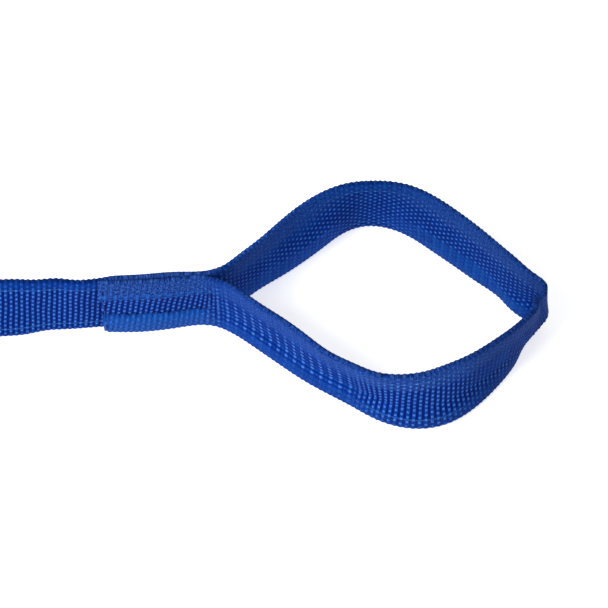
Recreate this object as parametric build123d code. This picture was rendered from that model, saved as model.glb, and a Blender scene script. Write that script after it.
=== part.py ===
from build123d import *
import os
from math import atan2, cos, degrees, radians, sin

# A flat web lifting sling with a sewn eye at each end.
# It stands on one edge of its webbing, and its long middle is folded into a hank held by a strap.
# Millimetres. +X runs along the sling towards the near eye, and +Z is up across the webbing's width.
# The origin is under the middle of the hank. Half a turn about Z carries one half onto the other.

# Webbing
WEB_WIDTH = 25.0
WEB_THICK = 2.2
PLY_PITCH = 2.3                      # between the middles of the two plies of a splice

# Hank: five runs that lie side by side under the tie and fan out to a loose fold at each end
RUN_PITCH = 2.7                      # between neighbouring runs where the tie holds them
STRAIGHT_HALF = 18.0                 # runs are straight and parallel this far each side of the middle
FOLD_X = 53.0                        # how far out the folds reach
FOLD_RADIUS = 3.3
INNER_FOLD_Y = (-8.8, -1.5)          # where the two sides of the fold next to the lead lie
OUTER_FOLD_Y = (1.4, 8.7)            # the same for the fold away from it
SPREAD_RADIUS = 40.0                 # gentle bend where the runs leave the straight
EXIT_X = 47.0                        # the run that leads out is clear of the folds from here on
PINCH = 1.6                          # how far the tie squeezes each edge of the webbing
WAIST_WIDTH = 21.6                   # wide enough to squeeze all five runs

# Flex lines: upright axes where one stretch of webbing bends against the next
LEAD_FLEX = Vector(64.0, -11.5)
EYE_FLEX = Vector(144.3, -4.25)
LEAD_END_GAP = 1.4                   # from the axis to the middle of the rounded end of a single ply
EYE_END_GAP = 1.7                    # the same for the two plies of a splice

# Splice
LAP_START_X = 105.0                  # cut end of the lapped ply
SPLICE_RISE = 4.3                    # degrees, direction of the splice seen from above
LAP_CLEARANCE = 3.0                  # the ply behind the lap bends this far before the lap's cut end

# Eye: corners and bend radii of the webbing's middle line, from the front ply round to the back one
FRONT_ARM = [(175.5, -31.7), (215.0, -57.0)]
FRONT_RADII = [60.0, 26.0]
EYE_TIP = (252.0, -7.3)
TIP_RADIUS = 4.0
BACK_ARM = [(206.0, 39.0), (187.8, 40.2), (168.5, 20.0)]
BACK_RADII = [19.0, 19.0, 60.0]

# Sewing thread: half-round stitches that lie on the outer face of a ply
STITCH_RADIUS = 0.4
STITCH_LENGTH = 2.6
STITCH_PITCH = 3.4
ROW_HEIGHTS = (8.75, 17.5)           # the two long rows
ROW_START = 3.5                      # first stitch of a row, from the lap's cut end
ROW_STITCHES = 10
BAR_STITCHES = 6                     # upright bar of stitches at each end of the splice
BAR_MARGINS = (1.0, 1.2)             # from the bars to the two ends of the splice

# Tie: a hook-and-loop strap round the middle of the hank
TIE_WIDTH = 14.0
TIE_THICK = 1.2
TIE_HALF_Y = 8.1                     # outer face of the strap
TIE_CORNER = 2.4
TAIL_HEIGHT = 13.0

# Identity label on the far lead, left blank
LABEL_SIZE = (26.0, 18.0)
LABEL_THICK = 0.5
LABEL_CENTRE = 20.0                  # from the far lap's cut end, along the lead
LABEL_HEM = 1.5                      # from the label's long edges to its rows of stitches
LABEL_ROW_MARGIN = 1.0               # left free at each end of a row


def heading(angle):
    return Vector(cos(radians(angle)), sin(radians(angle)))


def ribbon(points, radii, bottom=0.0, top=WEB_WIDTH):
    """Webbing on edge along a path of straight runs and tangent arcs, with rounded ends."""
    path = FilletPolyline(*points, radius=radii) if radii else Line(*points)
    plan = trace(path, WEB_THICK)
    for end in (path @ 0, path @ 1):
        plan += Pos(end.X, end.Y) * Circle(WEB_THICK / 2)
    return Pos(0, 0, bottom) * extrude(plan, amount=top - bottom), path.length


def half_turn(shape):
    return Rot(0, 0, 180) * shape


# Splice geometry -----------------------------------------------------------------------------

along = heading(SPLICE_RISE)
across = Vector(-along.Y, along.X)
lap_end = EYE_FLEX - along * EYE_END_GAP - across * (PLY_PITCH / 2)
back_ply_end = lap_end + across * PLY_PITCH
splice_length = (lap_end.X - LAP_START_X) / along.X
lap_start = lap_end - along * splice_length
back_ply_bend = lap_start + across * PLY_PITCH - along * LAP_CLEARANCE
lead_heading = (back_ply_bend - LEAD_FLEX).normalized()
lead_start = LEAD_FLEX + lead_heading * LEAD_END_GAP


def make_lead():
    return ribbon([lead_start, back_ply_bend, back_ply_end], [SPREAD_RADIUS])


def make_lap():
    return ribbon([lap_start, lap_end], None)


def make_eye():
    front_root = EYE_FLEX + along * EYE_END_GAP - across * (PLY_PITCH / 2)
    back_root = front_root + across * PLY_PITCH
    points = [front_root, *FRONT_ARM, EYE_TIP, *BACK_ARM, back_root]
    return ribbon(points, [*FRONT_RADII, TIP_RADIUS, *BACK_RADII])


def make_hank():
    """Serpentine of five runs. The second half of the path is the first half turned round."""
    side = STRAIGHT_HALF
    half = [
        (LEAD_FLEX.X - LEAD_END_GAP, LEAD_FLEX.Y),
        (EXIT_X, LEAD_FLEX.Y),
        (side, -2 * RUN_PITCH),
        (-side, -2 * RUN_PITCH),
        (-FOLD_X, -OUTER_FOLD_Y[1]),
        (-FOLD_X, -OUTER_FOLD_Y[0]),
        (-side, -RUN_PITCH),
        (side, -RUN_PITCH),
        (FOLD_X, INNER_FOLD_Y[0]),
        (FOLD_X, INNER_FOLD_Y[1]),
        (side, 0),
    ]
    gentle, fold = SPREAD_RADIUS, FOLD_RADIUS
    half_radii = [gentle, gentle, gentle, fold, fold, gentle, gentle, fold, fold, gentle]
    points = half + [(-x, -y) for x, y in reversed(half)]
    body, length = ribbon(points, half_radii + half_radii[::-1])
    waist = Box(2 * side, WAIST_WIDTH, PINCH)
    for height in (PINCH / 2, WEB_WIDTH - PINCH / 2):
        body -= Pos(0, 0, height) * waist
    return body, length


# Thread --------------------------------------------------------------------------------------

def stitch_stock(length):
    """Half-round stitch along X, flat side on the XZ plane, bulging towards -Y."""
    section = Plane.YZ * (Circle(STITCH_RADIUS) & Pos(-STITCH_RADIUS / 2, 0) * Rectangle(
        STITCH_RADIUS, 2 * STITCH_RADIUS))
    return Pos(-length / 2, 0, 0) * extrude(section, amount=length)


def splice_stitches(origin, facing):
    """Two long rows and two upright bars on one outer face; facing is -1 front or +1 back."""
    run = stitch_stock(STITCH_LENGTH)
    bar = Rot(0, 90, 0) * stitch_stock(STITCH_LENGTH)
    places = []
    for height in ROW_HEIGHTS:
        for n in range(ROW_STITCHES):
            places.append((run, ROW_START + n * STITCH_PITCH, height))
    bar_base = WEB_WIDTH / 2 - (BAR_STITCHES - 1) * STITCH_PITCH / 2
    for distance in (BAR_MARGINS[0], splice_length - BAR_MARGINS[1]):
        for n in range(BAR_STITCHES):
            places.append((bar, distance, bar_base + n * STITCH_PITCH))
    face = origin + across * facing * WEB_THICK / 2
    turn = SPLICE_RISE + (180 if facing > 0 else 0)
    stitches = []
    for stock, distance, height in places:
        spot = face + along * distance
        stitches.append(Pos(spot.X, spot.Y, height) * Rot(0, 0, turn) * stock)
    return Compound(children=stitches)


# Tie -----------------------------------------------------------------------------------------

def make_tie():
    """Closed band round the five runs, with the loose tail pressed on its +Y side."""
    height = WEB_WIDTH
    outer = RectangleRounded(2 * TIE_HALF_Y, height, TIE_CORNER)
    inner = RectangleRounded(
        2 * (TIE_HALF_Y - TIE_THICK), height - 2 * TIE_THICK, TIE_CORNER - TIE_THICK)
    profile = outer - inner + Pos(TIE_HALF_Y + TIE_THICK / 2, 0) * Rectangle(TIE_THICK, TAIL_HEIGHT)
    band = extrude(Plane.YZ * profile, amount=TIE_WIDTH)
    return Pos(-TIE_WIDTH / 2, 0, height / 2) * band


# Label ---------------------------------------------------------------------------------------

def label_place():
    """Plane on the outer back face of the near lead; the far label is its half turn."""
    centre = back_ply_bend - lead_heading * LABEL_CENTRE
    normal = Vector(-lead_heading.Y, lead_heading.X)
    face = centre + normal * (WEB_THICK / 2)
    angle = degrees(atan2(lead_heading.Y, lead_heading.X))
    return Pos(face.X, face.Y, WEB_WIDTH / 2) * Rot(0, 0, angle)


def make_label():
    plate = Box(LABEL_SIZE[0], LABEL_THICK, LABEL_SIZE[1])
    return half_turn(label_place() * Pos(0, LABEL_THICK / 2, 0) * plate)


def make_label_stitches():
    """One row along the top and one along the bottom edge of the label."""
    stock = Rot(0, 0, 180) * stitch_stock(STITCH_LENGTH)
    count = int((LABEL_SIZE[0] - 2 * LABEL_ROW_MARGIN) / STITCH_PITCH)
    first = -(count - 1) * STITCH_PITCH / 2
    row = LABEL_SIZE[1] / 2 - LABEL_HEM
    stitches = []
    for height in (-row, row):
        for n in range(count):
            place = label_place() * Pos(first + n * STITCH_PITCH, LABEL_THICK, height)
            stitches.append(half_turn(place * stock))
    return Compound(children=stitches)


# Assembly ------------------------------------------------------------------------------------

lead, lead_length = make_lead()
lap, lap_length = make_lap()
eye, eye_length = make_eye()
hank, hank_length = make_hank()
end_pieces = {
    "lead_webbing": lead,
    "lap_webbing": lap,
    "eye_webbing": eye,
    "splice_front_thread": splice_stitches(lap_start, -1),
    "splice_back_thread": splice_stitches(lap_start + across * PLY_PITCH, 1),
}

parts = {
    "hank_webbing": hank,
    "hank_tie_strap": make_tie(),
    "far_identity_label": make_label(),
    "far_label_thread": make_label_stitches(),
}
for name, piece in end_pieces.items():
    parts["near_" + name] = piece
    parts["far_" + name] = half_turn(piece)

os.makedirs("parts", exist_ok=True)
for name, piece in parts.items():
    export_step(piece, f"parts/{name}.step")

strip = hank_length + 2 * (lead_length + lap_length + eye_length)
reach = hank_length + 2 * lead_length + eye_length
print(f"webbing strip {strip:.0f} mm, sling length between the eyes' bearing points {reach:.0f} mm")
print(f"hank {hank_length:.1f}, lead {lead_length:.1f}, splice {splice_length:.1f}, eye {eye_length:.1f}")
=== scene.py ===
import math

import bpy
import numpy as np
from mathutils import Matrix, Vector


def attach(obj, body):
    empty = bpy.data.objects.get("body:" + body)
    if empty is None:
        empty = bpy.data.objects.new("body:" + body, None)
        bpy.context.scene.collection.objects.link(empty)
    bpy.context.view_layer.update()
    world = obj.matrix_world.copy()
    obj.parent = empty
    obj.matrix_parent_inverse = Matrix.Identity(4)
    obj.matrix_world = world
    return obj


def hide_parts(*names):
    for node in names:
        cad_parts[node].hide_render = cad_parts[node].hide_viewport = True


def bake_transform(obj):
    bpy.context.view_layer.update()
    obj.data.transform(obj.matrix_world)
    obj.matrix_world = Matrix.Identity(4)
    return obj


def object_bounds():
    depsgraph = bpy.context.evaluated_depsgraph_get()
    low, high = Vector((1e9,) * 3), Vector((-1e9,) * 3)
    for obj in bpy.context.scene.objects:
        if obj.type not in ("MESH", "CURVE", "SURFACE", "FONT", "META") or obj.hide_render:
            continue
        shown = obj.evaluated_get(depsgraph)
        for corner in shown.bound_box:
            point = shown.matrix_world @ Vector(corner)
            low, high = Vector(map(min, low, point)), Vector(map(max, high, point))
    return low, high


# A flat web sling standing on edge. The webbing is built as a woven strip that follows a route on the
# floor, for one half of the sling; half a turn about Z gives the other half, as in the CAD frame.
# Lengths are in metres. Routes are written in millimetres and multiplied by MM.

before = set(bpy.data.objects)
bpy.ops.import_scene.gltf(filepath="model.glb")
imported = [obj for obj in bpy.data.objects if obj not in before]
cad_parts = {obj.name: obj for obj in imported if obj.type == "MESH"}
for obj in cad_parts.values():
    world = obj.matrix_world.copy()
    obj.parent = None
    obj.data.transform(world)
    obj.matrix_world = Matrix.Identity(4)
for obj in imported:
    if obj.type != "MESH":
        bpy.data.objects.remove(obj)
cad_low, cad_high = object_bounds()

MM = 0.001
WIDTH = cad_high.z - cad_low.z              # the webbing stands on its edge
THICK = 2.2 * MM
RIB = 1.78 * MM                             # pitch of the weft ribs along the strip
WARP = WIDTH / 26                           # pitch of the warp bundles across it
ROW_PITCH = 2.1 * MM                        # rows of floats across the eye's front arm
SCALLOP = 0.2 * MM                          # how far the weft's turns stand out of the selvedges
SLACK = 0.05 * MM                           # how far the ribs wander
RIB_RELIEF = 0.12 * MM
FLOAT_RELIEF = 0.22 * MM
LAP_SKEW = 0.2                              # the ribs lean forward in the lap, and a little in the lead
LEAD_SKEW = 0.14
CREASE = 9.0 * MM                           # height of the lengthwise crease above the lower edge
ROW_HEIGHTS = (9.0 * MM, 18.9 * MM)         # the splice's long rows of stitches
ROUTE_SAMPLES = 6000
RINGS_PER_RIB = 4
HALF_TURN = Matrix.Rotation(math.pi, 4, "Z")


# Camera ---------------------------------------------------------------------------------------

SENSOR = 36.0                               # width, in a camera's millimetres
LENS = 94.737
CAMERA_ELEVATION = math.radians(50)
CAMERA_DISTANCE = 544 * MM
AIM = Vector((172 * MM, 3 * MM, 0))


def make_camera():
    data = bpy.data.cameras.new("camera")
    data.sensor_width = SENSOR
    data.lens = LENS
    data.clip_start = 0.01
    data.clip_end = 20
    camera = bpy.data.objects.new("camera", data)
    back = Vector((0, -math.cos(CAMERA_ELEVATION), math.sin(CAMERA_ELEVATION)))
    camera.location = AIM + back * CAMERA_DISTANCE
    camera.rotation_euler = (math.pi / 2 - CAMERA_ELEVATION, 0, 0)
    bpy.context.scene.collection.objects.link(camera)
    bpy.context.scene.camera = camera


make_camera()


# Smooth lines ---------------------------------------------------------------------------------

def cubic_slopes(knots, values):
    """Second derivatives of the natural cubic spline through values, one column per quantity."""
    count = len(knots)
    gap = np.diff(knots)
    system = np.eye(count)
    right = np.zeros_like(values)
    for i in range(1, count - 1):
        system[i, i - 1:i + 2] = gap[i - 1], 2 * (gap[i - 1] + gap[i]), gap[i]
        right[i] = 6 * ((values[i + 1] - values[i]) / gap[i] - (values[i] - values[i - 1]) / gap[i - 1])
    return np.linalg.solve(system, right)


def cubic(knots, values, at):
    """The natural cubic spline through values, at the given places."""
    bend = cubic_slopes(knots, values)
    low = np.clip(np.searchsorted(knots, at) - 1, 0, len(knots) - 2)
    gap = (knots[low + 1] - knots[low])[:, None]
    b = (at - knots[low])[:, None] / gap
    a = 1 - b
    curve = a * values[low] + b * values[low + 1]
    return curve + ((a ** 3 - a) * bend[low] + (b ** 3 - b) * bend[low + 1]) * gap ** 2 / 6


def soft_step(x, low, high):
    t = np.clip((x - low) / (high - low), 0, 1)
    return t * t * (3 - 2 * t)


def plateau(x, start, full, fading, end):
    """0 outside start and end, 1 from full to fading."""
    return soft_step(x, start, full) * (1 - soft_step(x, fading, end))


def bump_at(x, centre, spread):
    return np.exp(-((x - centre) / spread) ** 2)


# The near half's route ------------------------------------------------------------------------
# Each row: x and y of the crease in mm, three angles in degrees, and the squeeze of the width.
# The first angle is the lean of the flange below the crease, positive where its lower edge flares out
# of the loop. The second is that of the band above it, positive where its upper edge leans out.
# The third rakes the strip along its own direction, as at the folded tip.

LAP = [
    (105.2, -8.6, 0, 3, 0, 0),
    (118.3, -8.5, 0, 2, 0, 0),
    (130.2, -7.1, -3, 3, 0, 0),
    (140.0, -6.1, -2, 3, 0, 0),
]
FRONT_ARM = [
    (147.0, -8.1, 4, 4, 0, 0),
    (157.4, -15.1, 10, 8, 0, 0),
    (165.7, -21.9, 12, 8, 0, 0),
    (173.5, -28.7, 10, 9, 0, 0),
    (181.0, -33.9, 10, 14, 0, 0),
    (189.0, -38.5, 14, 15, 0, 0),
    (196.5, -42.9, 18, 12, 0, 0),
    (203.4, -45.5, 19, 4, 0, 0),
    (210.2, -46.0, 19, -3, 0, 0),
    (216.7, -44.1, 20, -6, 0, 0),
    (224.1, -39.2, 19, -2, 0, 0),
    (233.2, -31.5, 9, 2, 0, 0),
    (238.1, -26.7, 2, 4, 0, 0),
]
TIP = [
    (243.0, -21.0, -10, 5, -3, 0),
    (247.0, -15.7, -28, 3, -9, 0),
    (250.2, -11.3, -33, -4, -17, 0),
    (252.1, -7.7, -33, -10, -21, 0),
    (251.6, -4.8, -24, -15, -13, 0),
    (248.0, -2.0, -16, -13, -3, 0),
    (242.8, 1.6, -7, -6, 0, 0),
]
BACK_ARM = [
    (239.2, 5.2, 1, -4, 0, 0),
    (232.6, 12.3, -1, -1.5, 0, 0),
    (224.5, 19.6, 2, 3.5, 0, 0),
    (216.3, 26.9, 5, 6, 0, 0),
    (207.1, 34.4, 7, 1, 0, 0),
    (193.8, 38.0, 8, -6, 0, 0),
    (186.4, 34.9, 8, 1, 0, 0),
    (179.0, 28.2, 7, 12, 0, 0),
    (171.6, 21.0, 7, 14, 0, 0),
    (164.3, 14.7, 7, 8, 0, 0),
    (157.1, 9.2, 6, 0, 0, 0),
    (151.0, 3.6, 4, -2, 0, 0),
]
LEAD = [
    (142.6, -3.4, 3, -3, 0, 0),
    (130.4, -4.7, 3, -3, 0, 0),
    (119.0, -6.1, 0, -2, 0, 0),
    (109.5, -6.2, 0, -4, 0, 0),
    (103.5, -6.9, 2, -4, 0, 0),
    (98.0, -7.6, 3, -3, 0, 0),
    (91.5, -7.7, 0, 0, 0, 0),
    (85.0, -8.3, 0, 0, 0, 0),
    (79.0, -9.3, -4, 5, 0, 0),
    (71.7, -10.0, -5, 6, 0, 0),
    (60.0, -11.2, -1, 1, 0, 0),
]
HANK = [
    (47.0, -11.2, 0, 0, 0, 0),
    (32.0, -8.4, 0, 0, 0, 0.02),
    (18.0, -5.7, 0, 0, 0, 0.11),
    (7.0, -5.4, 0, 0, 0, 0.11),
    (-7.0, -5.4, 0, 0, 0, 0.11),
    (-18.0, -5.7, 0, 0, 0, 0.11),
    (-34.0, -7.6, 0, 0, 0, 0.02),
    (-47.0, -8.8, 0, 0, 0, 0),
    (-52.0, -7.6, 0, 0, 0, 0),
    (-53.3, -5.0, 0, 0, 0, 0),
    (-51.6, -2.5, 0, 0, 0, 0),
    (-47.0, -1.5, 0, 0, 0, 0),
    (-34.0, -2.0, 0, 0, 0, 0.02),
    (-18.0, -2.65, 0, 0, 0, 0.11),
    (-7.0, -2.7, 0, 0, 0, 0.11),
    (7.0, -2.7, 0, 0, 0, 0.11),
    (18.0, -3.0, 0, 0, 0, 0.11),
    (34.0, -6.0, 0, 0, 0, 0.02),
    (47.0, -8.5, 0, 0, 0, 0),
    (51.8, -7.8, 0, 0, 0, 0),
    (53.4, -5.2, 0, 0, 0, 0),
    (51.8, -2.5, 0, 0, 0, 0),
    (47.0, -1.5, 0, 0, 0, 0),
    (34.0, -0.7, 0, 0, 0, 0.02),
    (18.0, -0.1, 0, 0, 0, 0.11),
    (7.0, 0.0, 0, 0, 0, 0.11),
    (0.0, 0.0, 0, 0, 0, 0.11),
]


def lay_route(rows):
    """Fine stations along the whole route, and the distance of each row from its start."""
    rows = np.array(rows, float)
    values = np.column_stack([rows[:, :2] * MM, np.radians(rows[:, 2:5]), rows[:, 5]])
    knots = np.concatenate([[0], np.cumsum(np.hypot(*np.diff(values[:, :2], axis=0).T))])
    fine = np.linspace(0, knots[-1], ROUTE_SAMPLES)
    line = cubic(knots, values, fine)
    run = np.concatenate([[0], np.cumsum(np.hypot(*np.diff(line[:, :2], axis=0).T))])
    marks = np.interp(knots, fine, run)
    return run, line, marks


FRONT_BEND_ROW = 8                          # in FRONT_ARM
TIP_FOLD_ROW = 3                            # in TIP
BACK_BEND_ROW = 5                           # in BACK_ARM

ROUTE_RUN, ROUTE_LINE, ROUTE_MARKS = lay_route(LAP + FRONT_ARM + TIP + BACK_ARM + LEAD + HANK)
ROWS_TO_LEAD = len(LAP + FRONT_ARM + TIP + BACK_ARM)
HALF_LENGTH = ROUTE_RUN[-1]
LAP_END = ROUTE_MARKS[len(LAP) - 1]
FRONT_BEND = ROUTE_MARKS[len(LAP) + FRONT_BEND_ROW]
TIP_FOLD = ROUTE_MARKS[len(LAP + FRONT_ARM) + TIP_FOLD_ROW]
BACK_BEND = ROUTE_MARKS[len(LAP + FRONT_ARM + TIP) + BACK_BEND_ROW]
EYE_END = ROUTE_MARKS[ROWS_TO_LEAD]
LEAD_END = ROUTE_MARKS[ROWS_TO_LEAD + len(LEAD) - 1]
SPLICE_LENGTH = 39 * MM
SEAM = EYE_END + 1 * MM                     # the eye's piece of webbing meets the lead's here


def distance_at(x, low, high):
    """Distance along the route where it passes x, between the distances low and high."""
    s = np.linspace(low, high, 2000)
    return s[np.argmin(abs(np.interp(s, ROUTE_RUN, ROUTE_LINE[:, 0]) - x))]


def station(s):
    """Place and leans of the strip at each distance s along the route, and its direction."""
    line = np.stack([np.interp(s, ROUTE_RUN, column) for column in ROUTE_LINE.T])
    step = 0.4 * MM
    along = np.stack([np.interp(s + step, ROUTE_RUN, c) - np.interp(s - step, ROUTE_RUN, c)
                      for c in ROUTE_LINE.T[:2]])
    return line, along / np.hypot(*along)


def splice_share(s):
    """Two shares, 1 in the splice and 0 elsewhere: the lap's and that of the ply behind it."""
    lap = 1 - soft_step(s, LAP_END - 4 * MM, LAP_END + 6 * MM)
    end = EYE_END + SPLICE_LENGTH
    behind = plateau(s, EYE_END - 6 * MM, EYE_END + 4 * MM, end - 8 * MM, end)
    return lap, behind


def eye_share(s):
    """1 round the eye and 0 elsewhere."""
    return plateau(s, LAP_END - 3 * MM, LAP_END + 12 * MM, EYE_END - 12 * MM, EYE_END)


def near_tip_share(s):
    """1 on the last stretch before the folded tip."""
    return plateau(s, FRONT_BEND + 8 * MM, FRONT_BEND + 24 * MM, TIP_FOLD, TIP_FOLD + 10 * MM)


def painted_light_and_shade(s):
    """Painted shade round the tip and just past it, painted light on the back arm's last stretch."""
    painted_light_root = plateau(s, BACK_BEND + 4 * MM, BACK_BEND + 20 * MM, EYE_END - 8 * MM, EYE_END)
    painted_shade_past_tip = plateau(s, TIP_FOLD, TIP_FOLD + 8 * MM, BACK_BEND - 20 * MM, BACK_BEND)
    return 1 - 0.24 * near_tip_share(s) - 0.1 * painted_shade_past_tip + 0.28 * painted_light_root


def splice_wave(v):
    """How far the stitching pushes both plies towards the lap's side, across the width."""
    groove = bump_at(v, ROW_HEIGHTS[0], 1.2 * MM)
    pillow = bump_at(v, 4.6 * MM, 3.2 * MM)
    ridge = bump_at(v, 18.4 * MM, 2.2 * MM)
    top = soft_step(v, 20 * MM, 25 * MM)
    return (0.6 * pillow - 0.9 * groove + 0.6 * ridge - 0.5 * top) * MM


def middle_points(s, v):
    """Points halfway through the webbing's thickness. s and v broadcast together."""
    line, along = station(s)
    x, y, flange, band, rake, squeeze = line
    below = np.maximum(CREASE - v, 0)
    above = np.maximum(v - CREASE, 0)
    out = below * np.sin(flange) + above * np.sin(band)
    up = (CREASE - below) * np.cos(flange) + above * np.cos(band)
    up = WIDTH / 2 + (up - WIDTH / 2) * (1 - squeeze)
    ahead = (v - CREASE) * np.tan(rake)
    lap, behind = splice_share(s)
    out = out + (lap - behind) * splice_wave(v)
    east = x + along[1] * out + along[0] * ahead
    north = y - along[0] * out + along[1] * ahead
    return np.stack([east, north, up], axis=-1)


def surface(s, v):
    """Points in the middle of the webbing and the unit normals on the outer side of the loop."""
    step = 0.2 * MM
    with_s = middle_points(s + step, v) - middle_points(s - step, v)
    with_v = middle_points(s, v + step) - middle_points(s, v - step)
    normal = np.cross(with_s, with_v)
    return middle_points(s, v), normal / np.linalg.norm(normal, axis=-1)[..., None]


# Weave ----------------------------------------------------------------------------------------
# s is the distance along the route from the lap's cut end, and v the height above the lower edge.
# The limits of the bands are chosen after the picture.

def weave_run(s, v):
    """Distance along the weave: the stitching has pulled the lap's ribs askew."""
    lap, _ = splice_share(s)
    lead = soft_step(s, EYE_END - 10 * MM, EYE_END + 35 * MM)
    slow = np.sin(s / (7.3 * MM) + v / (3.1 * MM))
    quick = np.sin(s / (2.9 * MM) - v / (2.2 * MM))
    return s + (LEAD_SKEW * lead - LAP_SKEW * lap) * (v - CREASE) + SLACK * (slow + quick)


def square_share(s):
    """1 on the eye's front arm before its bend, where the floats stand in square rows."""
    return eye_share(s) * (1 - soft_step(s, FRONT_BEND - 28 * MM, FRONT_BEND - 16 * MM))


def small_share(s):
    """1 on the eye's back arm, where only the crowns of the floats get a painted highlight."""
    return eye_share(s) * soft_step(s, TIP_FOLD - 4 * MM, TIP_FOLD + 4 * MM)


def rib_height(s, v):
    """Relief of the weave: weft ribs, and the floats of the warp bundles over them."""
    turns = weave_run(s, v) / RIB
    rib = 0.5 + 0.5 * np.cos(2 * np.pi * turns)
    over = 0.5 + 0.5 * np.cos(np.pi * turns) * np.cos(np.pi * v / WARP)
    rows = (0.5 + 0.5 * np.cos(np.pi * turns)) * (0.5 + 0.5 * np.cos(2 * np.pi * v / ROW_PITCH))
    edge = np.minimum(v, WIDTH - v)
    strength = 0.45 + 0.55 * soft_step(edge, 0.3 * MM, 2.5 * MM)
    strength = strength * (1 - 0.6 * fuzz_strength(s, v))
    square, small = square_share(s), small_share(s)
    floats = rib * over * (1 - square) + rows * square
    ribs = RIB_RELIEF * (1 - 2 / 3 * (square + small)) * rib
    crowns = FLOAT_RELIEF * floats * (0.25 + 0.75 * dot_strength(s, v))
    return (ribs + crowns) * strength


def outer_half(s, v):
    """From the middle of the webbing to its face."""
    radius = (0.9 - 0.6 * sum(splice_share(s))) * MM
    edge = np.clip(np.minimum(v, WIDTH - v) / radius, 0, 1)
    round_over = np.sqrt(np.clip(1 - (1 - edge) ** 2, 0.02, 1))
    return (THICK / 2 - RIB_RELIEF + rib_height(s, v)) * round_over


def cut_end(s):
    """The lap's heat-sealed end is pressed thinner than the rest."""
    return 0.45 + 0.55 * soft_step(s, 0.0, 1.6 * MM)


def dot_strength(s, v):
    """Where the floats of the weave show in relief and with a painted highlight, from 0 to 1."""
    lap, _ = splice_share(s)
    loop = eye_share(s)
    plain = 1 - np.maximum(lap, loop)
    everywhere = 0.25 + 0.75 * plateau(v, 0.8 * MM, 2.5 * MM, 20.8 * MM, 22.6 * MM)
    middle_band = plateau(v, 9.0 * MM, 10.0 * MM, 17.4 * MM, 18.6 * MM)
    spread = np.maximum(bump_at(s, FRONT_BEND - 4 * MM, 17 * MM), bump_at(s, BACK_BEND, 16 * MM))
    raised = 3 * MM * soft_step(s, TIP_FOLD, TIP_FOLD + 10 * MM)
    hollow = 4.4 * MM * soft_step(s, TIP_FOLD + 10 * MM, TIP_FOLD + 36 * MM)
    eye_band = plateau(v, 4.2 * MM + hollow, 5.8 * MM + hollow, 15.0 * MM + raised, 18.5 * MM + raised)
    eye_band = eye_band + (bump_at(v, 8.2 * MM, 2.0 * MM) - eye_band) * near_tip_share(s)
    last = soft_step(s, BACK_BEND + 14 * MM, BACK_BEND + 26 * MM)
    eye_band = eye_band + (bump_at(v, 12.5 * MM, 4.2 * MM) - eye_band) * last
    eye_band = eye_band + (everywhere - eye_band) * spread
    return plain * everywhere + lap * (0.3 + 0.7 * middle_band) + loop * (0.12 + 0.88 * eye_band)


def fuzz_strength(s, v):
    """Where the surface is brushed: the lap's upper and lower bands and the eye's edges."""
    lap, behind = splice_share(s)
    loop = eye_share(s) * (1 - bump_at(s, BACK_BEND, 18 * MM))
    behind = behind * soft_step(v, 23 * MM, 24 * MM)
    on_lap = soft_step(v, 18.8 * MM, 19.8 * MM) + 0.5 * (1 - soft_step(v, 4 * MM, 8 * MM))
    on_loop = 0.7 * soft_step(v, 16.5 * MM, 18.6 * MM) + 0.35 * (1 - soft_step(v, 2.6 * MM, 4.6 * MM))
    return lap * on_lap + behind + loop * on_loop


def grid_faces(rows, around):
    """Quads of a closed tube of rows rings, each with around corners."""
    row = np.arange(rows - 1)[:, None] * around
    here = np.arange(around)[None]
    after = (here + 1) % around
    corners = [row + here, row + around + here, row + around + after, row + after]
    return np.stack(corners, axis=-1).reshape(-1, 4)


def flat_caps(rows, around):
    """Quads that close both ends of a tube whose ring runs along one face and back along the other."""
    i = np.arange(around // 2 - 1)
    quad = np.stack([i, i + 1, around - 2 - i, around - 1 - i], axis=-1)
    return np.concatenate([quad, quad[:, ::-1] + (rows - 1) * around])


def build_mesh(name, points, faces):
    mesh = bpy.data.meshes.new(name)
    mesh.from_pydata(points.reshape(-1, 3).tolist(), [], faces.tolist())
    mesh.polygons.foreach_set("use_smooth", np.ones(len(mesh.polygons), bool))
    return mesh


def store(mesh, title, shape, *values):
    """Three numbers per vertex, read by the material."""
    attribute = mesh.attributes.new(title, "FLOAT_VECTOR", "POINT")
    data = np.stack([np.broadcast_to(v, shape) for v in values], axis=-1)
    attribute.data.foreach_set("vector", data.astype(np.float32).reshape(-1))


def web_mesh(name, start, stop, across):
    """Closed woven strip between two distances along the route, with this many quads in its width."""
    count = int(round((stop - start) / RIB * RINGS_PER_RIB))
    s = np.linspace(start, stop, count + 1)[:, None]
    v = np.linspace(0, WIDTH, across + 1)[None]
    middle, normal = surface(s, v)
    half = outer_half(s, v)[..., None] * cut_end(s)[..., None]
    front = middle + normal * half
    back = middle - normal * half
    selvedge = SCALLOP * np.cos(2 * np.pi * weave_run(s, v) / RIB)
    calm = 1 - 0.85 * sum(splice_share(s))
    for side in (front, back):
        side[:, -2:, 2] += calm * selvedge[:, -2:]
        side[:, :2, 2] -= selvedge[:, :2]
    ring = np.concatenate([front, back[:, ::-1]], axis=1)
    ring[..., 2] -= min(ring[..., 2].min(), 0)
    around = ring.shape[1]
    faces = np.concatenate([grid_faces(count + 1, around), flat_caps(count + 1, around)])
    mesh = build_mesh(name, ring, faces)
    v_ring = np.concatenate([v, v[:, ::-1]], axis=1)
    shape = ring.shape[:2]
    lap, _ = splice_share(s)
    # The third number is the painted light and shade along the strip.
    store(mesh, "web", shape, weave_run(s, v_ring) / MM, v_ring / MM, painted_light_and_shade(s))
    store(mesh, "look", shape, dot_strength(s, v_ring), fuzz_strength(s, v_ring), 0.0)
    store(mesh, "zone", shape, lap, square_share(s), small_share(s))
    return mesh


# Materials ------------------------------------------------------------------------------------

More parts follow.
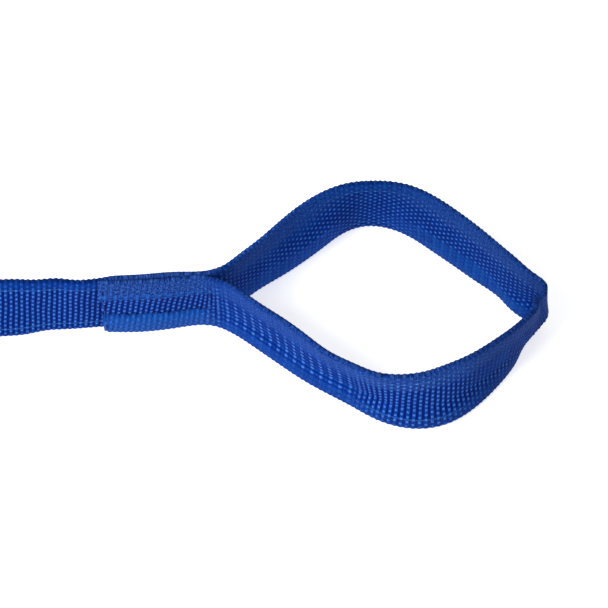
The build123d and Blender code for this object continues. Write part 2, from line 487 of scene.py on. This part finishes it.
class Nodes:
    """Small helper that builds a node tree from expressions."""

    def __init__(self, name):
        self.material = bpy.data.materials.new(name)
        self.material.use_nodes = True
        self.tree = self.material.node_tree
        self.shader = self.tree.nodes["Principled BSDF"]

    def put(self, socket, value):
        if isinstance(value, bpy.types.NodeSocket):
            self.tree.links.new(value, socket)
        else:
            socket.default_value = value

    def math(self, operation, *values):
        node = self.tree.nodes.new("ShaderNodeMath")
        node.operation = operation
        for socket, value in zip(node.inputs, values):
            self.put(socket, value)
        return node.outputs[0]

    def times(self, first, second):
        return self.math("MULTIPLY", first, second)

    def one_minus(self, value):
        return self.math("SUBTRACT", 1.0, value)

    def wave(self, value, turn, shape="COSINE"):
        """Swings between 0 and 1 as value times turn goes round the circle."""
        return self.math("MULTIPLY_ADD", self.math(shape, self.times(value, turn)), 0.5, 0.5)

    def distance(self, value, centre):
        return self.math("ABSOLUTE", self.math("SUBTRACT", value, centre))

    def attribute(self, name):
        """The stored vector, and its three numbers."""
        node = self.tree.nodes.new("ShaderNodeAttribute")
        node.attribute_name = name
        split = self.tree.nodes.new("ShaderNodeSeparateXYZ")
        self.tree.links.new(node.outputs["Vector"], split.inputs[0])
        return node.outputs["Vector"], split.outputs[0], split.outputs[1], split.outputs[2]

    def noise(self, vector, scale, detail=3.0, roughness=0.55):
        node = self.tree.nodes.new("ShaderNodeTexNoise")
        node.inputs["Scale"].default_value = scale
        node.inputs["Detail"].default_value = detail
        node.inputs["Roughness"].default_value = roughness
        self.put(node.inputs["Vector"], vector)
        return node.outputs["Fac"]

    def ramp(self, value, low, high, start=0.0, stop=1.0):
        node = self.tree.nodes.new("ShaderNodeMapRange")
        node.interpolation_type = "SMOOTHSTEP"
        for socket, item in zip(node.inputs, (value, low, high, start, stop)):
            self.put(socket, item)
        return node.outputs["Result"]

    def mix(self, factor, first, second):
        """Colours mixed. Inputs 6 and 7 are the node's two colours."""
        node = self.tree.nodes.new("ShaderNodeMix")
        node.data_type = "RGBA"
        self.put(node.inputs[0], factor)
        self.put(node.inputs[6], first)
        self.put(node.inputs[7], second)
        return node.outputs[2]

    def stretch(self, vector, scale):
        node = self.tree.nodes.new("ShaderNodeVectorMath")
        node.operation = "MULTIPLY"
        self.put(node.inputs[0], vector)
        node.inputs[1].default_value = scale
        return node.outputs[0]

    def bump(self, height, strength, distance):
        node = self.tree.nodes.new("ShaderNodeBump")
        node.inputs["Strength"].default_value = strength
        node.inputs["Distance"].default_value = distance
        self.put(node.inputs["Height"], height)
        self.tree.links.new(node.outputs["Normal"], self.shader.inputs["Normal"])


def rgb(red, green, blue):
    """Linear colour from 8-bit sRGB."""
    linear = []
    for channel in (red, green, blue):
        c = channel / 255
        linear.append(c / 12.92 if c <= 0.04045 else ((c + 0.055) / 1.055) ** 2.4)
    return (*linear, 1.0)


# Heights and pitches in the materials are in millimetres, as the stored coordinates are.

BASE = (rgb(2, 49, 131), rgb(8, 62, 147))
BRUSHED = (rgb(2, 34, 106), rgb(48, 84, 158))
LIT_LOW_BAND = rgb(32, 96, 184)                 # painted light on the lap's lower band
RIB_GAP_SHADE = rgb(0, 24, 98)                        # painted shade between the ribs
SHADED = rgb(0, 26, 104)                    # between the floats
BROAD_RIB_LIGHT = rgb(18, 84, 146)                    # painted light on every other rib of the back arm, where no floats show
# Painted highlight on the crowns of the floats.
FLOAT_HIGHLIGHT = rgb(74, 122, 204)
# Painted highlight along the lap's ridge.
RIDGE_HIGHLIGHT = rgb(40, 102, 188)
# Painted shade in the groove of the splice's lower row of stitches.
SEAM_GROOVE_SHADE = rgb(0, 16, 70)
TRACER = rgb(56, 120, 190)
RIM = rgb(2, 26, 84)
RIDGE = 18.7                                # height of the ridge along the lap, which carries a painted highlight
TRACERS = (3.7, 21.1)                       # heights of the two pale warp threads
PUCKER = 0.38                               # how far the painted shade in the lower stitch row's groove waves
PUCKER_PITCH = 2.7
THREAD_TWIST = 0.8                          # one turn of the thread's strands
TIE_RIB = 0.9
LABEL_THREAD_PITCH = 0.45
PRINTED_HALF = (10.4, 5.4)                  # half the size of the label's printed frame
RULE_HALF_PITCH = 1.35


def webbing_material():
    n = Nodes("blue_webbing")
    # The third number of web is the painted light and shade along the strip.
    spot, along, across, painted_light_and_yarn_tone = n.attribute("web")
    _, dots, fuzz, _ = n.attribute("look")
    _, lap, square, small = n.attribute("zone")
    special = n.math("ADD", square, small)
    turns = n.math("DIVIDE", along, RIB / MM)
    rib = n.wave(turns, 2 * math.pi)
    weft = n.math("COSINE", n.times(turns, math.pi))
    warp = n.math("COSINE", n.times(across, math.pi * MM / WARP))
    over = n.math("MULTIPLY_ADD", n.times(weft, warp), 0.5, 0.5)
    fine = n.noise(n.stretch(spot, (2.2, 3.4, 0.0)), 1.0, 4.0, 0.7)
    cloud = n.noise(n.stretch(spot, (0.12, 0.20, 0.0)), 1.0, 2.0)
    fibre = n.noise(n.stretch(spot, (5.5, 2.2, 0.0)), 1.0, 5.0, 0.75)

    colour = n.mix(n.ramp(cloud, 0.3, 0.7), *BASE)
    # Painted light on the lap's lower band.
    lit_low_band = n.times(lap, n.ramp(across, 6.4, 9.4, 0.65, 0.0))
    colour = n.mix(lit_low_band, colour, LIT_LOW_BAND)
    # Painted shade in the gaps between the ribs.
    gap = n.times(n.one_minus(n.ramp(rib, 0.15, 0.8)), n.math("MULTIPLY_ADD", dots, 0.7, 0.25))
    gap = n.times(gap, n.math("MULTIPLY_ADD", special, -0.65, 1.0))
    colour = n.mix(gap, colour, RIB_GAP_SHADE)
    column = n.math("MULTIPLY_ADD", weft, 0.5, 0.5)
    row = n.wave(across, 2 * math.pi * MM / ROW_PITCH)
    between_rows = n.ramp(row, 0.1, 0.7, 1.0, 0.0)
    between_rows = n.times(between_rows, n.math("MULTIPLY_ADD", column, -0.5, 1.0))
    between_rows = n.times(between_rows, n.times(square, dots))
    colour = n.mix(n.times(between_rows, 0.9), colour, SHADED)
    between_crowns = n.times(n.ramp(over, 0.2, 0.6, 1.0, 0.0), n.times(small, dots))
    colour = n.mix(n.times(between_crowns, 0.7), colour, SHADED)
    # Painted light on every other rib of the back arm, where no floats show.
    back_arm_rib_light = n.times(n.one_minus(dots), n.times(n.ramp(column, 0.3, 0.9), small))
    colour = n.mix(n.times(back_arm_rib_light, 0.35), colour, BROAD_RIB_LIGHT)
    speck = n.noise(n.stretch(spot, (2.4, 1.7, 0.0)), 1.0, 2.0, 0.6)
    brushed = n.mix(n.ramp(speck, 0.40, 0.60), *BRUSHED)
    colour = n.mix(n.times(fuzz, 0.85), colour, brushed)
    # Painted highlight on the crowns of the floats.
    float_highlight = n.times(n.ramp(rib, 0.35, 0.95), n.ramp(over, 0.36, 0.85))
    crown = n.times(n.ramp(rib, 0.3, 0.95), n.ramp(over, 0.6, 0.95))
    in_rows = n.times(n.ramp(column, 0.55, 0.97), n.ramp(row, 0.4, 0.9))
    float_highlight = n.times(float_highlight, n.one_minus(special))
    float_highlight = n.math("MULTIPLY_ADD", crown, small, float_highlight)
    float_highlight = n.math("MULTIPLY_ADD", in_rows, square, float_highlight)
    float_highlight = n.times(n.times(float_highlight, dots), n.ramp(fine, 0.30, 0.62, 0.3, 1.0))
    colour = n.mix(float_highlight, colour, FLOAT_HIGHLIGHT)

    # Painted highlight along the lap's ridge.
    ridge = n.one_minus(n.ramp(n.distance(across, RIDGE), 0.3, 1.1))
    colour = n.mix(n.times(n.times(ridge, lap), 0.4), colour, RIDGE_HIGHLIGHT)
    # Painted shade in the groove of the lower row of stitches, waving with the pucker.
    pucker = n.times(n.math("SINE", n.times(along, 2 * math.pi / PUCKER_PITCH)), PUCKER)
    from_seam = n.distance(n.math("ADD", across, pucker), ROW_HEIGHTS[0] / MM)
    groove_shade = n.times(n.ramp(from_seam, 0.4, 0.95, 1.0, 0.0), lap)
    colour = n.mix(groove_shade, colour, SEAM_GROOVE_SHADE)
    nearest = n.math("MINIMUM", n.distance(across, TRACERS[0]), n.distance(across, TRACERS[1]))
    plain = n.times(n.one_minus(lap), n.times(dots, 0.35))
    tracer = n.times(n.ramp(nearest, 0.1, 0.35, 1.0, 0.0), plain)
    colour = n.mix(tracer, colour, TRACER)
    rim = n.times(n.ramp(across, 24.2, 24.8, 0.0, 0.55), n.one_minus(fuzz))
    colour = n.mix(rim, colour, RIM)
    # The colour is scaled by that painted light and shade and by a random tone of the yarn.
    yarn = n.noise(n.stretch(spot, (2.2, 1.1, 0.0)), 1.0, 3.0, 0.7)
    painted_light_and_yarn_tone = n.times(painted_light_and_yarn_tone, n.ramp(yarn, 0.30, 0.70, 0.66, 1.32))
    toned = n.tree.nodes.new("ShaderNodeVectorMath")
    toned.operation = "SCALE"
    n.put(toned.inputs[0], colour)
    n.put(toned.inputs["Scale"], painted_light_and_yarn_tone)
    colour = toned.outputs[0]

    n.put(n.shader.inputs["Base Color"], colour)
    n.put(n.shader.inputs["Roughness"], n.ramp(fine, 0.2, 0.8, 0.5, 0.7))
    n.shader.inputs["Specular IOR Level"].default_value = 0.02
    relief = n.math("MULTIPLY_ADD", n.times(over, rib), 0.8, n.times(fibre, 0.5))
    n.bump(relief, 0.7, 0.3 * MM)
    return n.material


def thread_material(name, dark, light):
    """Twisted thread: slanting strands, from coordinates that run along the stitch and round it."""
    n = Nodes(name)
    spot, along, around, _ = n.attribute("web")
    slant = n.math("MULTIPLY_ADD", along, 2 * math.pi / THREAD_TWIST, around)
    strand = n.math("MULTIPLY_ADD", n.math("SINE", slant), 0.5, 0.5)
    grain = n.noise(n.stretch(spot, (4.0, 2.0, 1.0)), 1.0, 3.0)
    lit = n.times(strand, n.ramp(grain, 0.2, 0.7))
    n.put(n.shader.inputs["Base Color"], n.mix(lit, dark, light))
    n.shader.inputs["Roughness"].default_value = 0.6
    n.shader.inputs["Specular IOR Level"].default_value = 0.15
    n.bump(strand, 0.8, 0.1 * MM)
    return n.material


def tie_material():
    """Black loop pile with a plain selvedge on each edge."""
    n = Nodes("black_tie")
    spot, along, across, _ = n.attribute("web")
    pile = n.noise(n.stretch(spot, (2.6, 2.6, 1.0)), 1.0, 5.0, 0.8)
    edge = n.ramp(n.math("ABSOLUTE", across), 5.6, 6.1)
    weave = n.wave(along, 2 * math.pi / TIE_RIB, "SINE")
    colour = n.mix(n.ramp(pile, 0.35, 0.7), rgb(12, 12, 14), rgb(52, 52, 58))
    colour = n.mix(n.times(edge, 0.8), colour, n.mix(weave, rgb(14, 14, 16), rgb(40, 40, 44)))
    n.put(n.shader.inputs["Base Color"], colour)
    n.shader.inputs["Roughness"].default_value = 0.85
    n.shader.inputs["Specular IOR Level"].default_value = 0.2
    relief = n.mix(edge, pile, weave)
    n.bump(relief, 0.8, 0.4 * MM)
    return n.material


def label_material():
    """Fine white cloth, blank but for a printed frame and four ruled lines."""
    n = Nodes("label_cloth")
    spot, along, across, _ = n.attribute("web")
    grain = n.noise(n.stretch(spot, (6.0, 6.0, 1.0)), 1.0, 4.0, 0.7)
    turn = 2 * math.pi / LABEL_THREAD_PITCH
    threads = n.times(n.math("SINE", n.times(along, turn)), n.math("SINE", n.times(across, turn)))
    colour = n.mix(n.ramp(grain, 0.3, 0.7), rgb(206, 209, 208), rgb(232, 234, 232))
    ink = rgb(70, 74, 84)
    beside = n.math("SUBTRACT", n.math("ABSOLUTE", along), PRINTED_HALF[0])
    above = n.math("SUBTRACT", n.math("ABSOLUTE", across), PRINTED_HALF[1])
    frame_line = n.math("ABSOLUTE", n.math("MAXIMUM", beside, above))
    inside = n.math("LESS_THAN", n.math("MAXIMUM", beside, above), -1.2)
    ruled = n.distance(n.math("PINGPONG", n.math("ABSOLUTE", across), RULE_HALF_PITCH), RULE_HALF_PITCH)
    ruled = n.times(n.ramp(ruled, 0.05, 0.14, 0.7, 0.0), inside)
    colour = n.mix(n.ramp(frame_line, 0.08, 0.2, 0.85, 0.0), colour, ink)
    colour = n.mix(ruled, colour, ink)
    n.put(n.shader.inputs["Base Color"], colour)
    n.shader.inputs["Roughness"].default_value = 0.75
    n.shader.inputs["Specular IOR Level"].default_value = 0.2
    n.bump(n.math("MULTIPLY_ADD", threads, 0.5, grain), 0.5, 0.1 * MM)
    return n.material


WEBBING = webbing_material()
THREAD = thread_material("blue_thread", rgb(2, 32, 106), rgb(28, 70, 156))
TIE = tie_material()
LABEL = label_material()
LABEL_THREAD = thread_material("label_thread", rgb(170, 172, 168), rgb(240, 240, 236))


# Pieces ---------------------------------------------------------------------------------------

def place(name, mesh, material):
    """Put the mesh into the scene as a piece with one material."""
    piece = bpy.data.objects.new(name, mesh)
    mesh.materials.append(material)
    bpy.context.scene.collection.objects.link(piece)
    return piece


def both_ends(name, mesh, material):
    """The near piece and its half turn, the far one, each with the sign of its X."""
    far_mesh = mesh.copy()
    far_mesh.transform(HALF_TURN)
    near = place("near_" + name, mesh, material)
    far = place("far_" + name, far_mesh, material)
    return (("near", near, 1), ("far", far, -1))


def make_webbing():
    eye = web_mesh("eye_and_lap", 0.0, SEAM, 64)
    for side, piece, sign in both_ends("eye_and_lap", eye, WEBBING):
        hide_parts(f"{side}_eye_webbing", f"{side}_lap_webbing")
        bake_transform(piece)
    lead = web_mesh("lead", SEAM, LEAD_END, 64)
    for side, piece, sign in both_ends("lead", lead, WEBBING):
        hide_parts(f"{side}_lead_webbing")
        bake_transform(piece)
    hank = web_mesh("hank", LEAD_END, HALF_LENGTH, 32)
    for side, piece, sign in both_ends("hank", hank, WEBBING):
        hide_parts("hank_webbing")
        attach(piece, "hank")


def stitches_mesh(name, stitches, radius, lift):
    """Short threads on the outer face. Each stitch is its middle (s, v) and its half length (ds, dv)."""
    steps, round_steps = 9, 8
    t = np.linspace(-1, 1, steps)
    turn = np.arange(round_steps) * 2 * np.pi / round_steps
    rings, faces, along_all, around_all = [], [], [], []
    for s, v, ds, dv in stitches:
        at_s, at_v = s + t * ds, v + t * dv
        middle, normal = surface(at_s, at_v)
        arch = outer_half(at_s, at_v) + lift + radius * (0.5 - 1.5 * t ** 4)     # both ends dip in
        line = middle + normal * arch[:, None]
        direction = np.gradient(line, axis=0)
        direction /= np.linalg.norm(direction, axis=1)[:, None]
        cross = np.cross(direction, normal)
        thick = radius * (1 - 0.55 * t ** 6)                                     # and taper
        spoke = np.cos(turn)[None, :, None] * cross[:, None] + np.sin(turn)[None, :, None] * normal[:, None]
        ring = line[:, None] + thick[:, None, None] * spoke
        base = len(rings) * steps * round_steps
        rings.append(ring.reshape(-1, 3))
        faces += (grid_faces(steps, round_steps) + base).tolist()
        faces.append([base + i for i in range(round_steps)])
        faces.append([base + (steps - 1) * round_steps + i for i in reversed(range(round_steps))])
        along_all.append(np.repeat(t * math.hypot(ds, dv) / MM, round_steps))
        around_all.append(np.tile(turn, steps))
    mesh = bpy.data.meshes.new(name)
    mesh.from_pydata(np.concatenate(rings).tolist(), [], faces)
    mesh.polygons.foreach_set("use_smooth", np.ones(len(mesh.polygons), bool))
    along_all, around_all = np.concatenate(along_all), np.concatenate(around_all)
    store(mesh, "web", along_all.shape, along_all, around_all, 0.0)
    return mesh


STITCH_HALF = 1.3 * MM
STITCH_PITCH = 3.4 * MM
THREAD_RADIUS = 0.33 * MM
THREAD_SUNK = 0.12 * MM                     # the stitches are pulled this far into the webbing
LAP_START_X = 105.3 * MM
ROW_START = 3.5 * MM                        # first stitch of a row, from the lap's cut end
ROW_STITCHES = 10
BAR_PLACES = (1.1 * MM, 36.4 * MM)          # the upright bars, from the lap's cut end
BAR_STITCHES = 6


def splice_stitches(start, direction):
    """Two long rows and an upright bar at each end, from the lap's cut end along the splice."""
    stitches = []
    for height in ROW_HEIGHTS:
        for i in range(ROW_STITCHES):
            s = start + direction * (ROW_START + i * STITCH_PITCH)
            stitches.append((s, height, direction * STITCH_HALF, 0.16 * MM))
    bar_base = WIDTH / 2 - (BAR_STITCHES - 1) * STITCH_PITCH / 2
    for distance in BAR_PLACES:
        for i in range(BAR_STITCHES):
            s = start + direction * distance
            stitches.append((s, bar_base + i * STITCH_PITCH, 0.12 * MM, STITCH_HALF))
    return stitches


def make_splice_thread():
    behind_lap_start = distance_at(LAP_START_X, EYE_END, LEAD_END)
    rows = {"front": splice_stitches(0.0, 1), "back": splice_stitches(behind_lap_start, -1)}
    for face, stitches in rows.items():
        mesh = stitches_mesh(face, stitches, THREAD_RADIUS, -THREAD_SUNK)
        for side, piece, _ in both_ends(f"splice_{face}_stitching", mesh, THREAD):
            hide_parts(f"{side}_splice_{face}_thread")
            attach(piece, f"{side}_lead")


# The tie's hook-and-loop strap is wound once round the hank and laps over itself on the +Y side.
TIE_WIDTH = 14 * MM
TIE_THICK = 1.2 * MM
TIE_EDGE = 1.2 * MM
TIE_LAYER = 7.5 * MM                        # from the hank's middle plane to the middle of the strap
TIE_CORNER = 2.2 * MM
TIE_PILE = 0.14 * MM                        # longest loops of the pile
TIE_PILE_ROOT = 0.12 * MM                   # how far under the strap's face the pile starts
TIE_STEP = 0.35 * MM


def tie_route():
    """Centre line of the strap in the YZ plane, from the hidden end to the tail."""
    base, top = TIE_THICK / 2, WIDTH - TIE_THICK / 2
    r, lap_over = TIE_CORNER, TIE_THICK + 0.05 * MM
    corners = [
        (TIE_LAYER - r, base + r, 0, -90, r),
        (-TIE_LAYER + r, base + r, -90, -180, r),
        (-TIE_LAYER + r, top - r, -180, -270, r),
        (TIE_LAYER - r + lap_over / 2, top - r - lap_over / 2, -270, -360, r + lap_over / 2),
    ]
    points = [(TIE_LAYER, 17.5 * MM), (TIE_LAYER, 12 * MM)]
    for y, z, start, stop, radius in corners:
        for angle in np.radians(np.linspace(start, stop, 7)):
            points.append((y + radius * math.cos(angle), z + radius * math.sin(angle)))
    tail = TIE_LAYER + lap_over
    points += [(tail, 17 * MM), (tail, 12 * MM), (tail + 0.15 * MM, 8.5 * MM), (tail + 0.6 * MM, 6 * MM)]
    return np.array(points)


def make_tie():
    points = tie_route()
    length = np.concatenate([[0], np.cumsum(np.hypot(*np.diff(points, axis=0).T))])
    count = int(length[-1] / TIE_STEP)
    s = np.linspace(0, length[-1], count)
    y, z = (np.interp(s, length, points[:, i]) for i in range(2))
    average = np.ones(5) / 5
    for line in (y, z):
        line[2:-2] = np.convolve(line, average, "valid")
    step = np.stack([np.gradient(y), np.gradient(z)], axis=-1)
    step /= np.linalg.norm(step, axis=1)[:, None]
    outward = np.stack([-step[:, 1], step[:, 0]], axis=-1)
    across = np.linspace(-TIE_WIDTH / 2, TIE_WIDTH / 2, 41)
    edge = np.clip((TIE_WIDTH / 2 - abs(across)) / TIE_EDGE, 0, 1)
    tufts = np.random.default_rng(5).uniform(0, TIE_PILE, (count, len(across)))
    pile = np.where(edge >= 1, tufts, 0.0)
    half = (TIE_THICK / 2 - TIE_PILE_ROOT) * (0.55 + 0.45 * soft_step(edge, 0.2, 1.0))
    half = half * np.where(edge > 0, 1, 0.4)
    far_side = np.concatenate([across, across[::-1]])
    depth = np.concatenate([half[None] + pile, np.broadcast_to(-half[::-1], pile.shape)], axis=1)
    ring = np.empty((count, len(far_side), 3))
    ring[..., 0] = far_side[None]
    ring[..., 1] = y[:, None] + outward[:, 0:1] * depth
    ring[..., 2] = z[:, None] + outward[:, 1:2] * depth
    ring[..., 2] = np.clip(ring[..., 2], 0, None)
    faces = np.concatenate([grid_faces(count, len(far_side)), flat_caps(count, len(far_side))])
    mesh = build_mesh("tie", ring, faces[:, ::-1])
    store(mesh, "web", depth.shape, s[:, None] / MM, far_side[None] / MM, 0.0)
    tie = place("tie_strap", mesh, TIE)
    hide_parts("hank_tie_strap")
    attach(tie, "tie")


LABEL_HALF = (13 * MM, 9 * MM)
LABEL_THICK = 0.5 * MM
LABEL_HEM = 1.5 * MM
LABEL_X = 82.2 * MM
LABEL_LIFT = 0.2 * MM                       # clears the ribs of the webbing
LABEL_PUCKER = 0.12 * MM
LABEL_THREAD_RADIUS = 0.26 * MM
LABEL_THREAD_LIFT = 0.52 * MM               # on top of the cloth


def label_centre():
    return distance_at(LABEL_X, EYE_END, LEAD_END)


def make_label():
    """A blank label sewn to the lead's outer face, puckered a little by its stitches."""
    u = np.linspace(-1, 1, 105)[:, None] * LABEL_HALF[0]
    w = np.linspace(-1, 1, 73)[None] * LABEL_HALF[1]
    middle, normal = surface(label_centre() + u, WIDTH / 2 + w)
    hem = abs(abs(w) - (LABEL_HALF[1] - LABEL_HEM))
    pucker = LABEL_PUCKER * np.cos(2 * np.pi * u / STITCH_PITCH) * bump_at(hem, 0, 1.6 * MM)
    face = THICK / 2 + LABEL_LIFT + pucker
    edge = np.clip(np.minimum(LABEL_HALF[0] - abs(u), LABEL_HALF[1] - abs(w)) / (0.4 * MM), 0, 1)
    thick = LABEL_THICK * (0.5 + 0.5 * np.sqrt(edge * (2 - edge)))
    back = middle + normal * (face - 0.1 * MM)[..., None]
    front = middle + normal * (face + thick)[..., None]
    ring = np.concatenate([front, back[:, ::-1]], axis=1)
    faces = np.concatenate([grid_faces(len(u), ring.shape[1]), flat_caps(len(u), ring.shape[1])])
    mesh = build_mesh("label", ring, faces)
    w_ring = np.concatenate([w, w[:, ::-1]], axis=1)
    store(mesh, "web", ring.shape[:2], u / MM, w_ring / MM, 0.0)
    mesh.transform(HALF_TURN)
    label = place("far_identity_label_cloth", mesh, LABEL)
    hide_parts("far_identity_label")
    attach(label, "far_lead")


def make_label_thread():
    rows = LABEL_HALF[1] - LABEL_HEM
    sides = LABEL_HALF[0] - LABEL_HEM
    stitches = []
    for height in (WIDTH / 2 - rows, WIDTH / 2 + rows):
        for i in range(-3, 4):
            stitches.append((label_centre() + i * STITCH_PITCH, height, STITCH_HALF, 0.05 * MM))
    for across in (-sides, sides):
        for i in range(-1, 2):
            height = WIDTH / 2 + i * STITCH_PITCH
            stitches.append((label_centre() + across, height, 0.04 * MM, STITCH_HALF))
    mesh = stitches_mesh("label_stitches", stitches, LABEL_THREAD_RADIUS, LABEL_THREAD_LIFT)
    mesh.transform(HALF_TURN)
    thread = place("far_label_stitching", mesh, LABEL_THREAD)
    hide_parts("far_label_thread")
    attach(thread, "far_lead")


make_webbing()
make_splice_thread()
make_tie()
make_label()
make_label_thread()


# Stage ----------------------------------------------------------------------------------------

FLOOR_HALF = 6.0


def make_floor():
    mesh = bpy.data.meshes.new("floor")
    corners = [(x * FLOOR_HALF, y * FLOOR_HALF, 0) for x, y in ((-1, -1), (1, -1), (1, 1), (-1, 1))]
    mesh.from_pydata(corners, [], [(0, 1, 2, 3)])
    floor = bpy.data.objects.new("floor", mesh)
    n = Nodes("pale_floor")
    n.shader.inputs["Base Color"].default_value = (0.9, 0.9, 0.9, 1)
    n.shader.inputs["Roughness"].default_value = 0.9
    n.shader.inputs["Specular IOR Level"].default_value = 0.1
    n.shader.inputs["Emission Color"].default_value = (1, 1, 1, 1)
    n.shader.inputs["Emission Strength"].default_value = 0.6
    mesh.materials.append(n.material)
    bpy.context.scene.collection.objects.link(floor)


def make_area(name, location, target, size, power):
    data = bpy.data.lights.new(name, "AREA")
    data.shape = "DISK"
    data.size = size
    data.energy = power
    lamp = bpy.data.objects.new(name, data)
    lamp.location = location
    lamp.rotation_mode = "QUATERNION"
    lamp.rotation_quaternion = (Vector(target) - Vector(location)).to_track_quat("-Z", "Y")
    bpy.context.scene.collection.objects.link(lamp)


def make_light():
    world = bpy.data.worlds.new("studio")
    world.use_nodes = True
    world.node_tree.nodes["Background"].inputs[0].default_value = (1, 1, 1, 1)
    world.node_tree.nodes["Background"].inputs[1].default_value = 0.5
    bpy.context.scene.world = world
    make_area("key", location=(-1.0, -0.8, 1.1), target=(0.1, 0, 0), size=1.0, power=30)


make_floor()
make_light()
bpy.context.scene.view_settings.view_transform = "Standard"
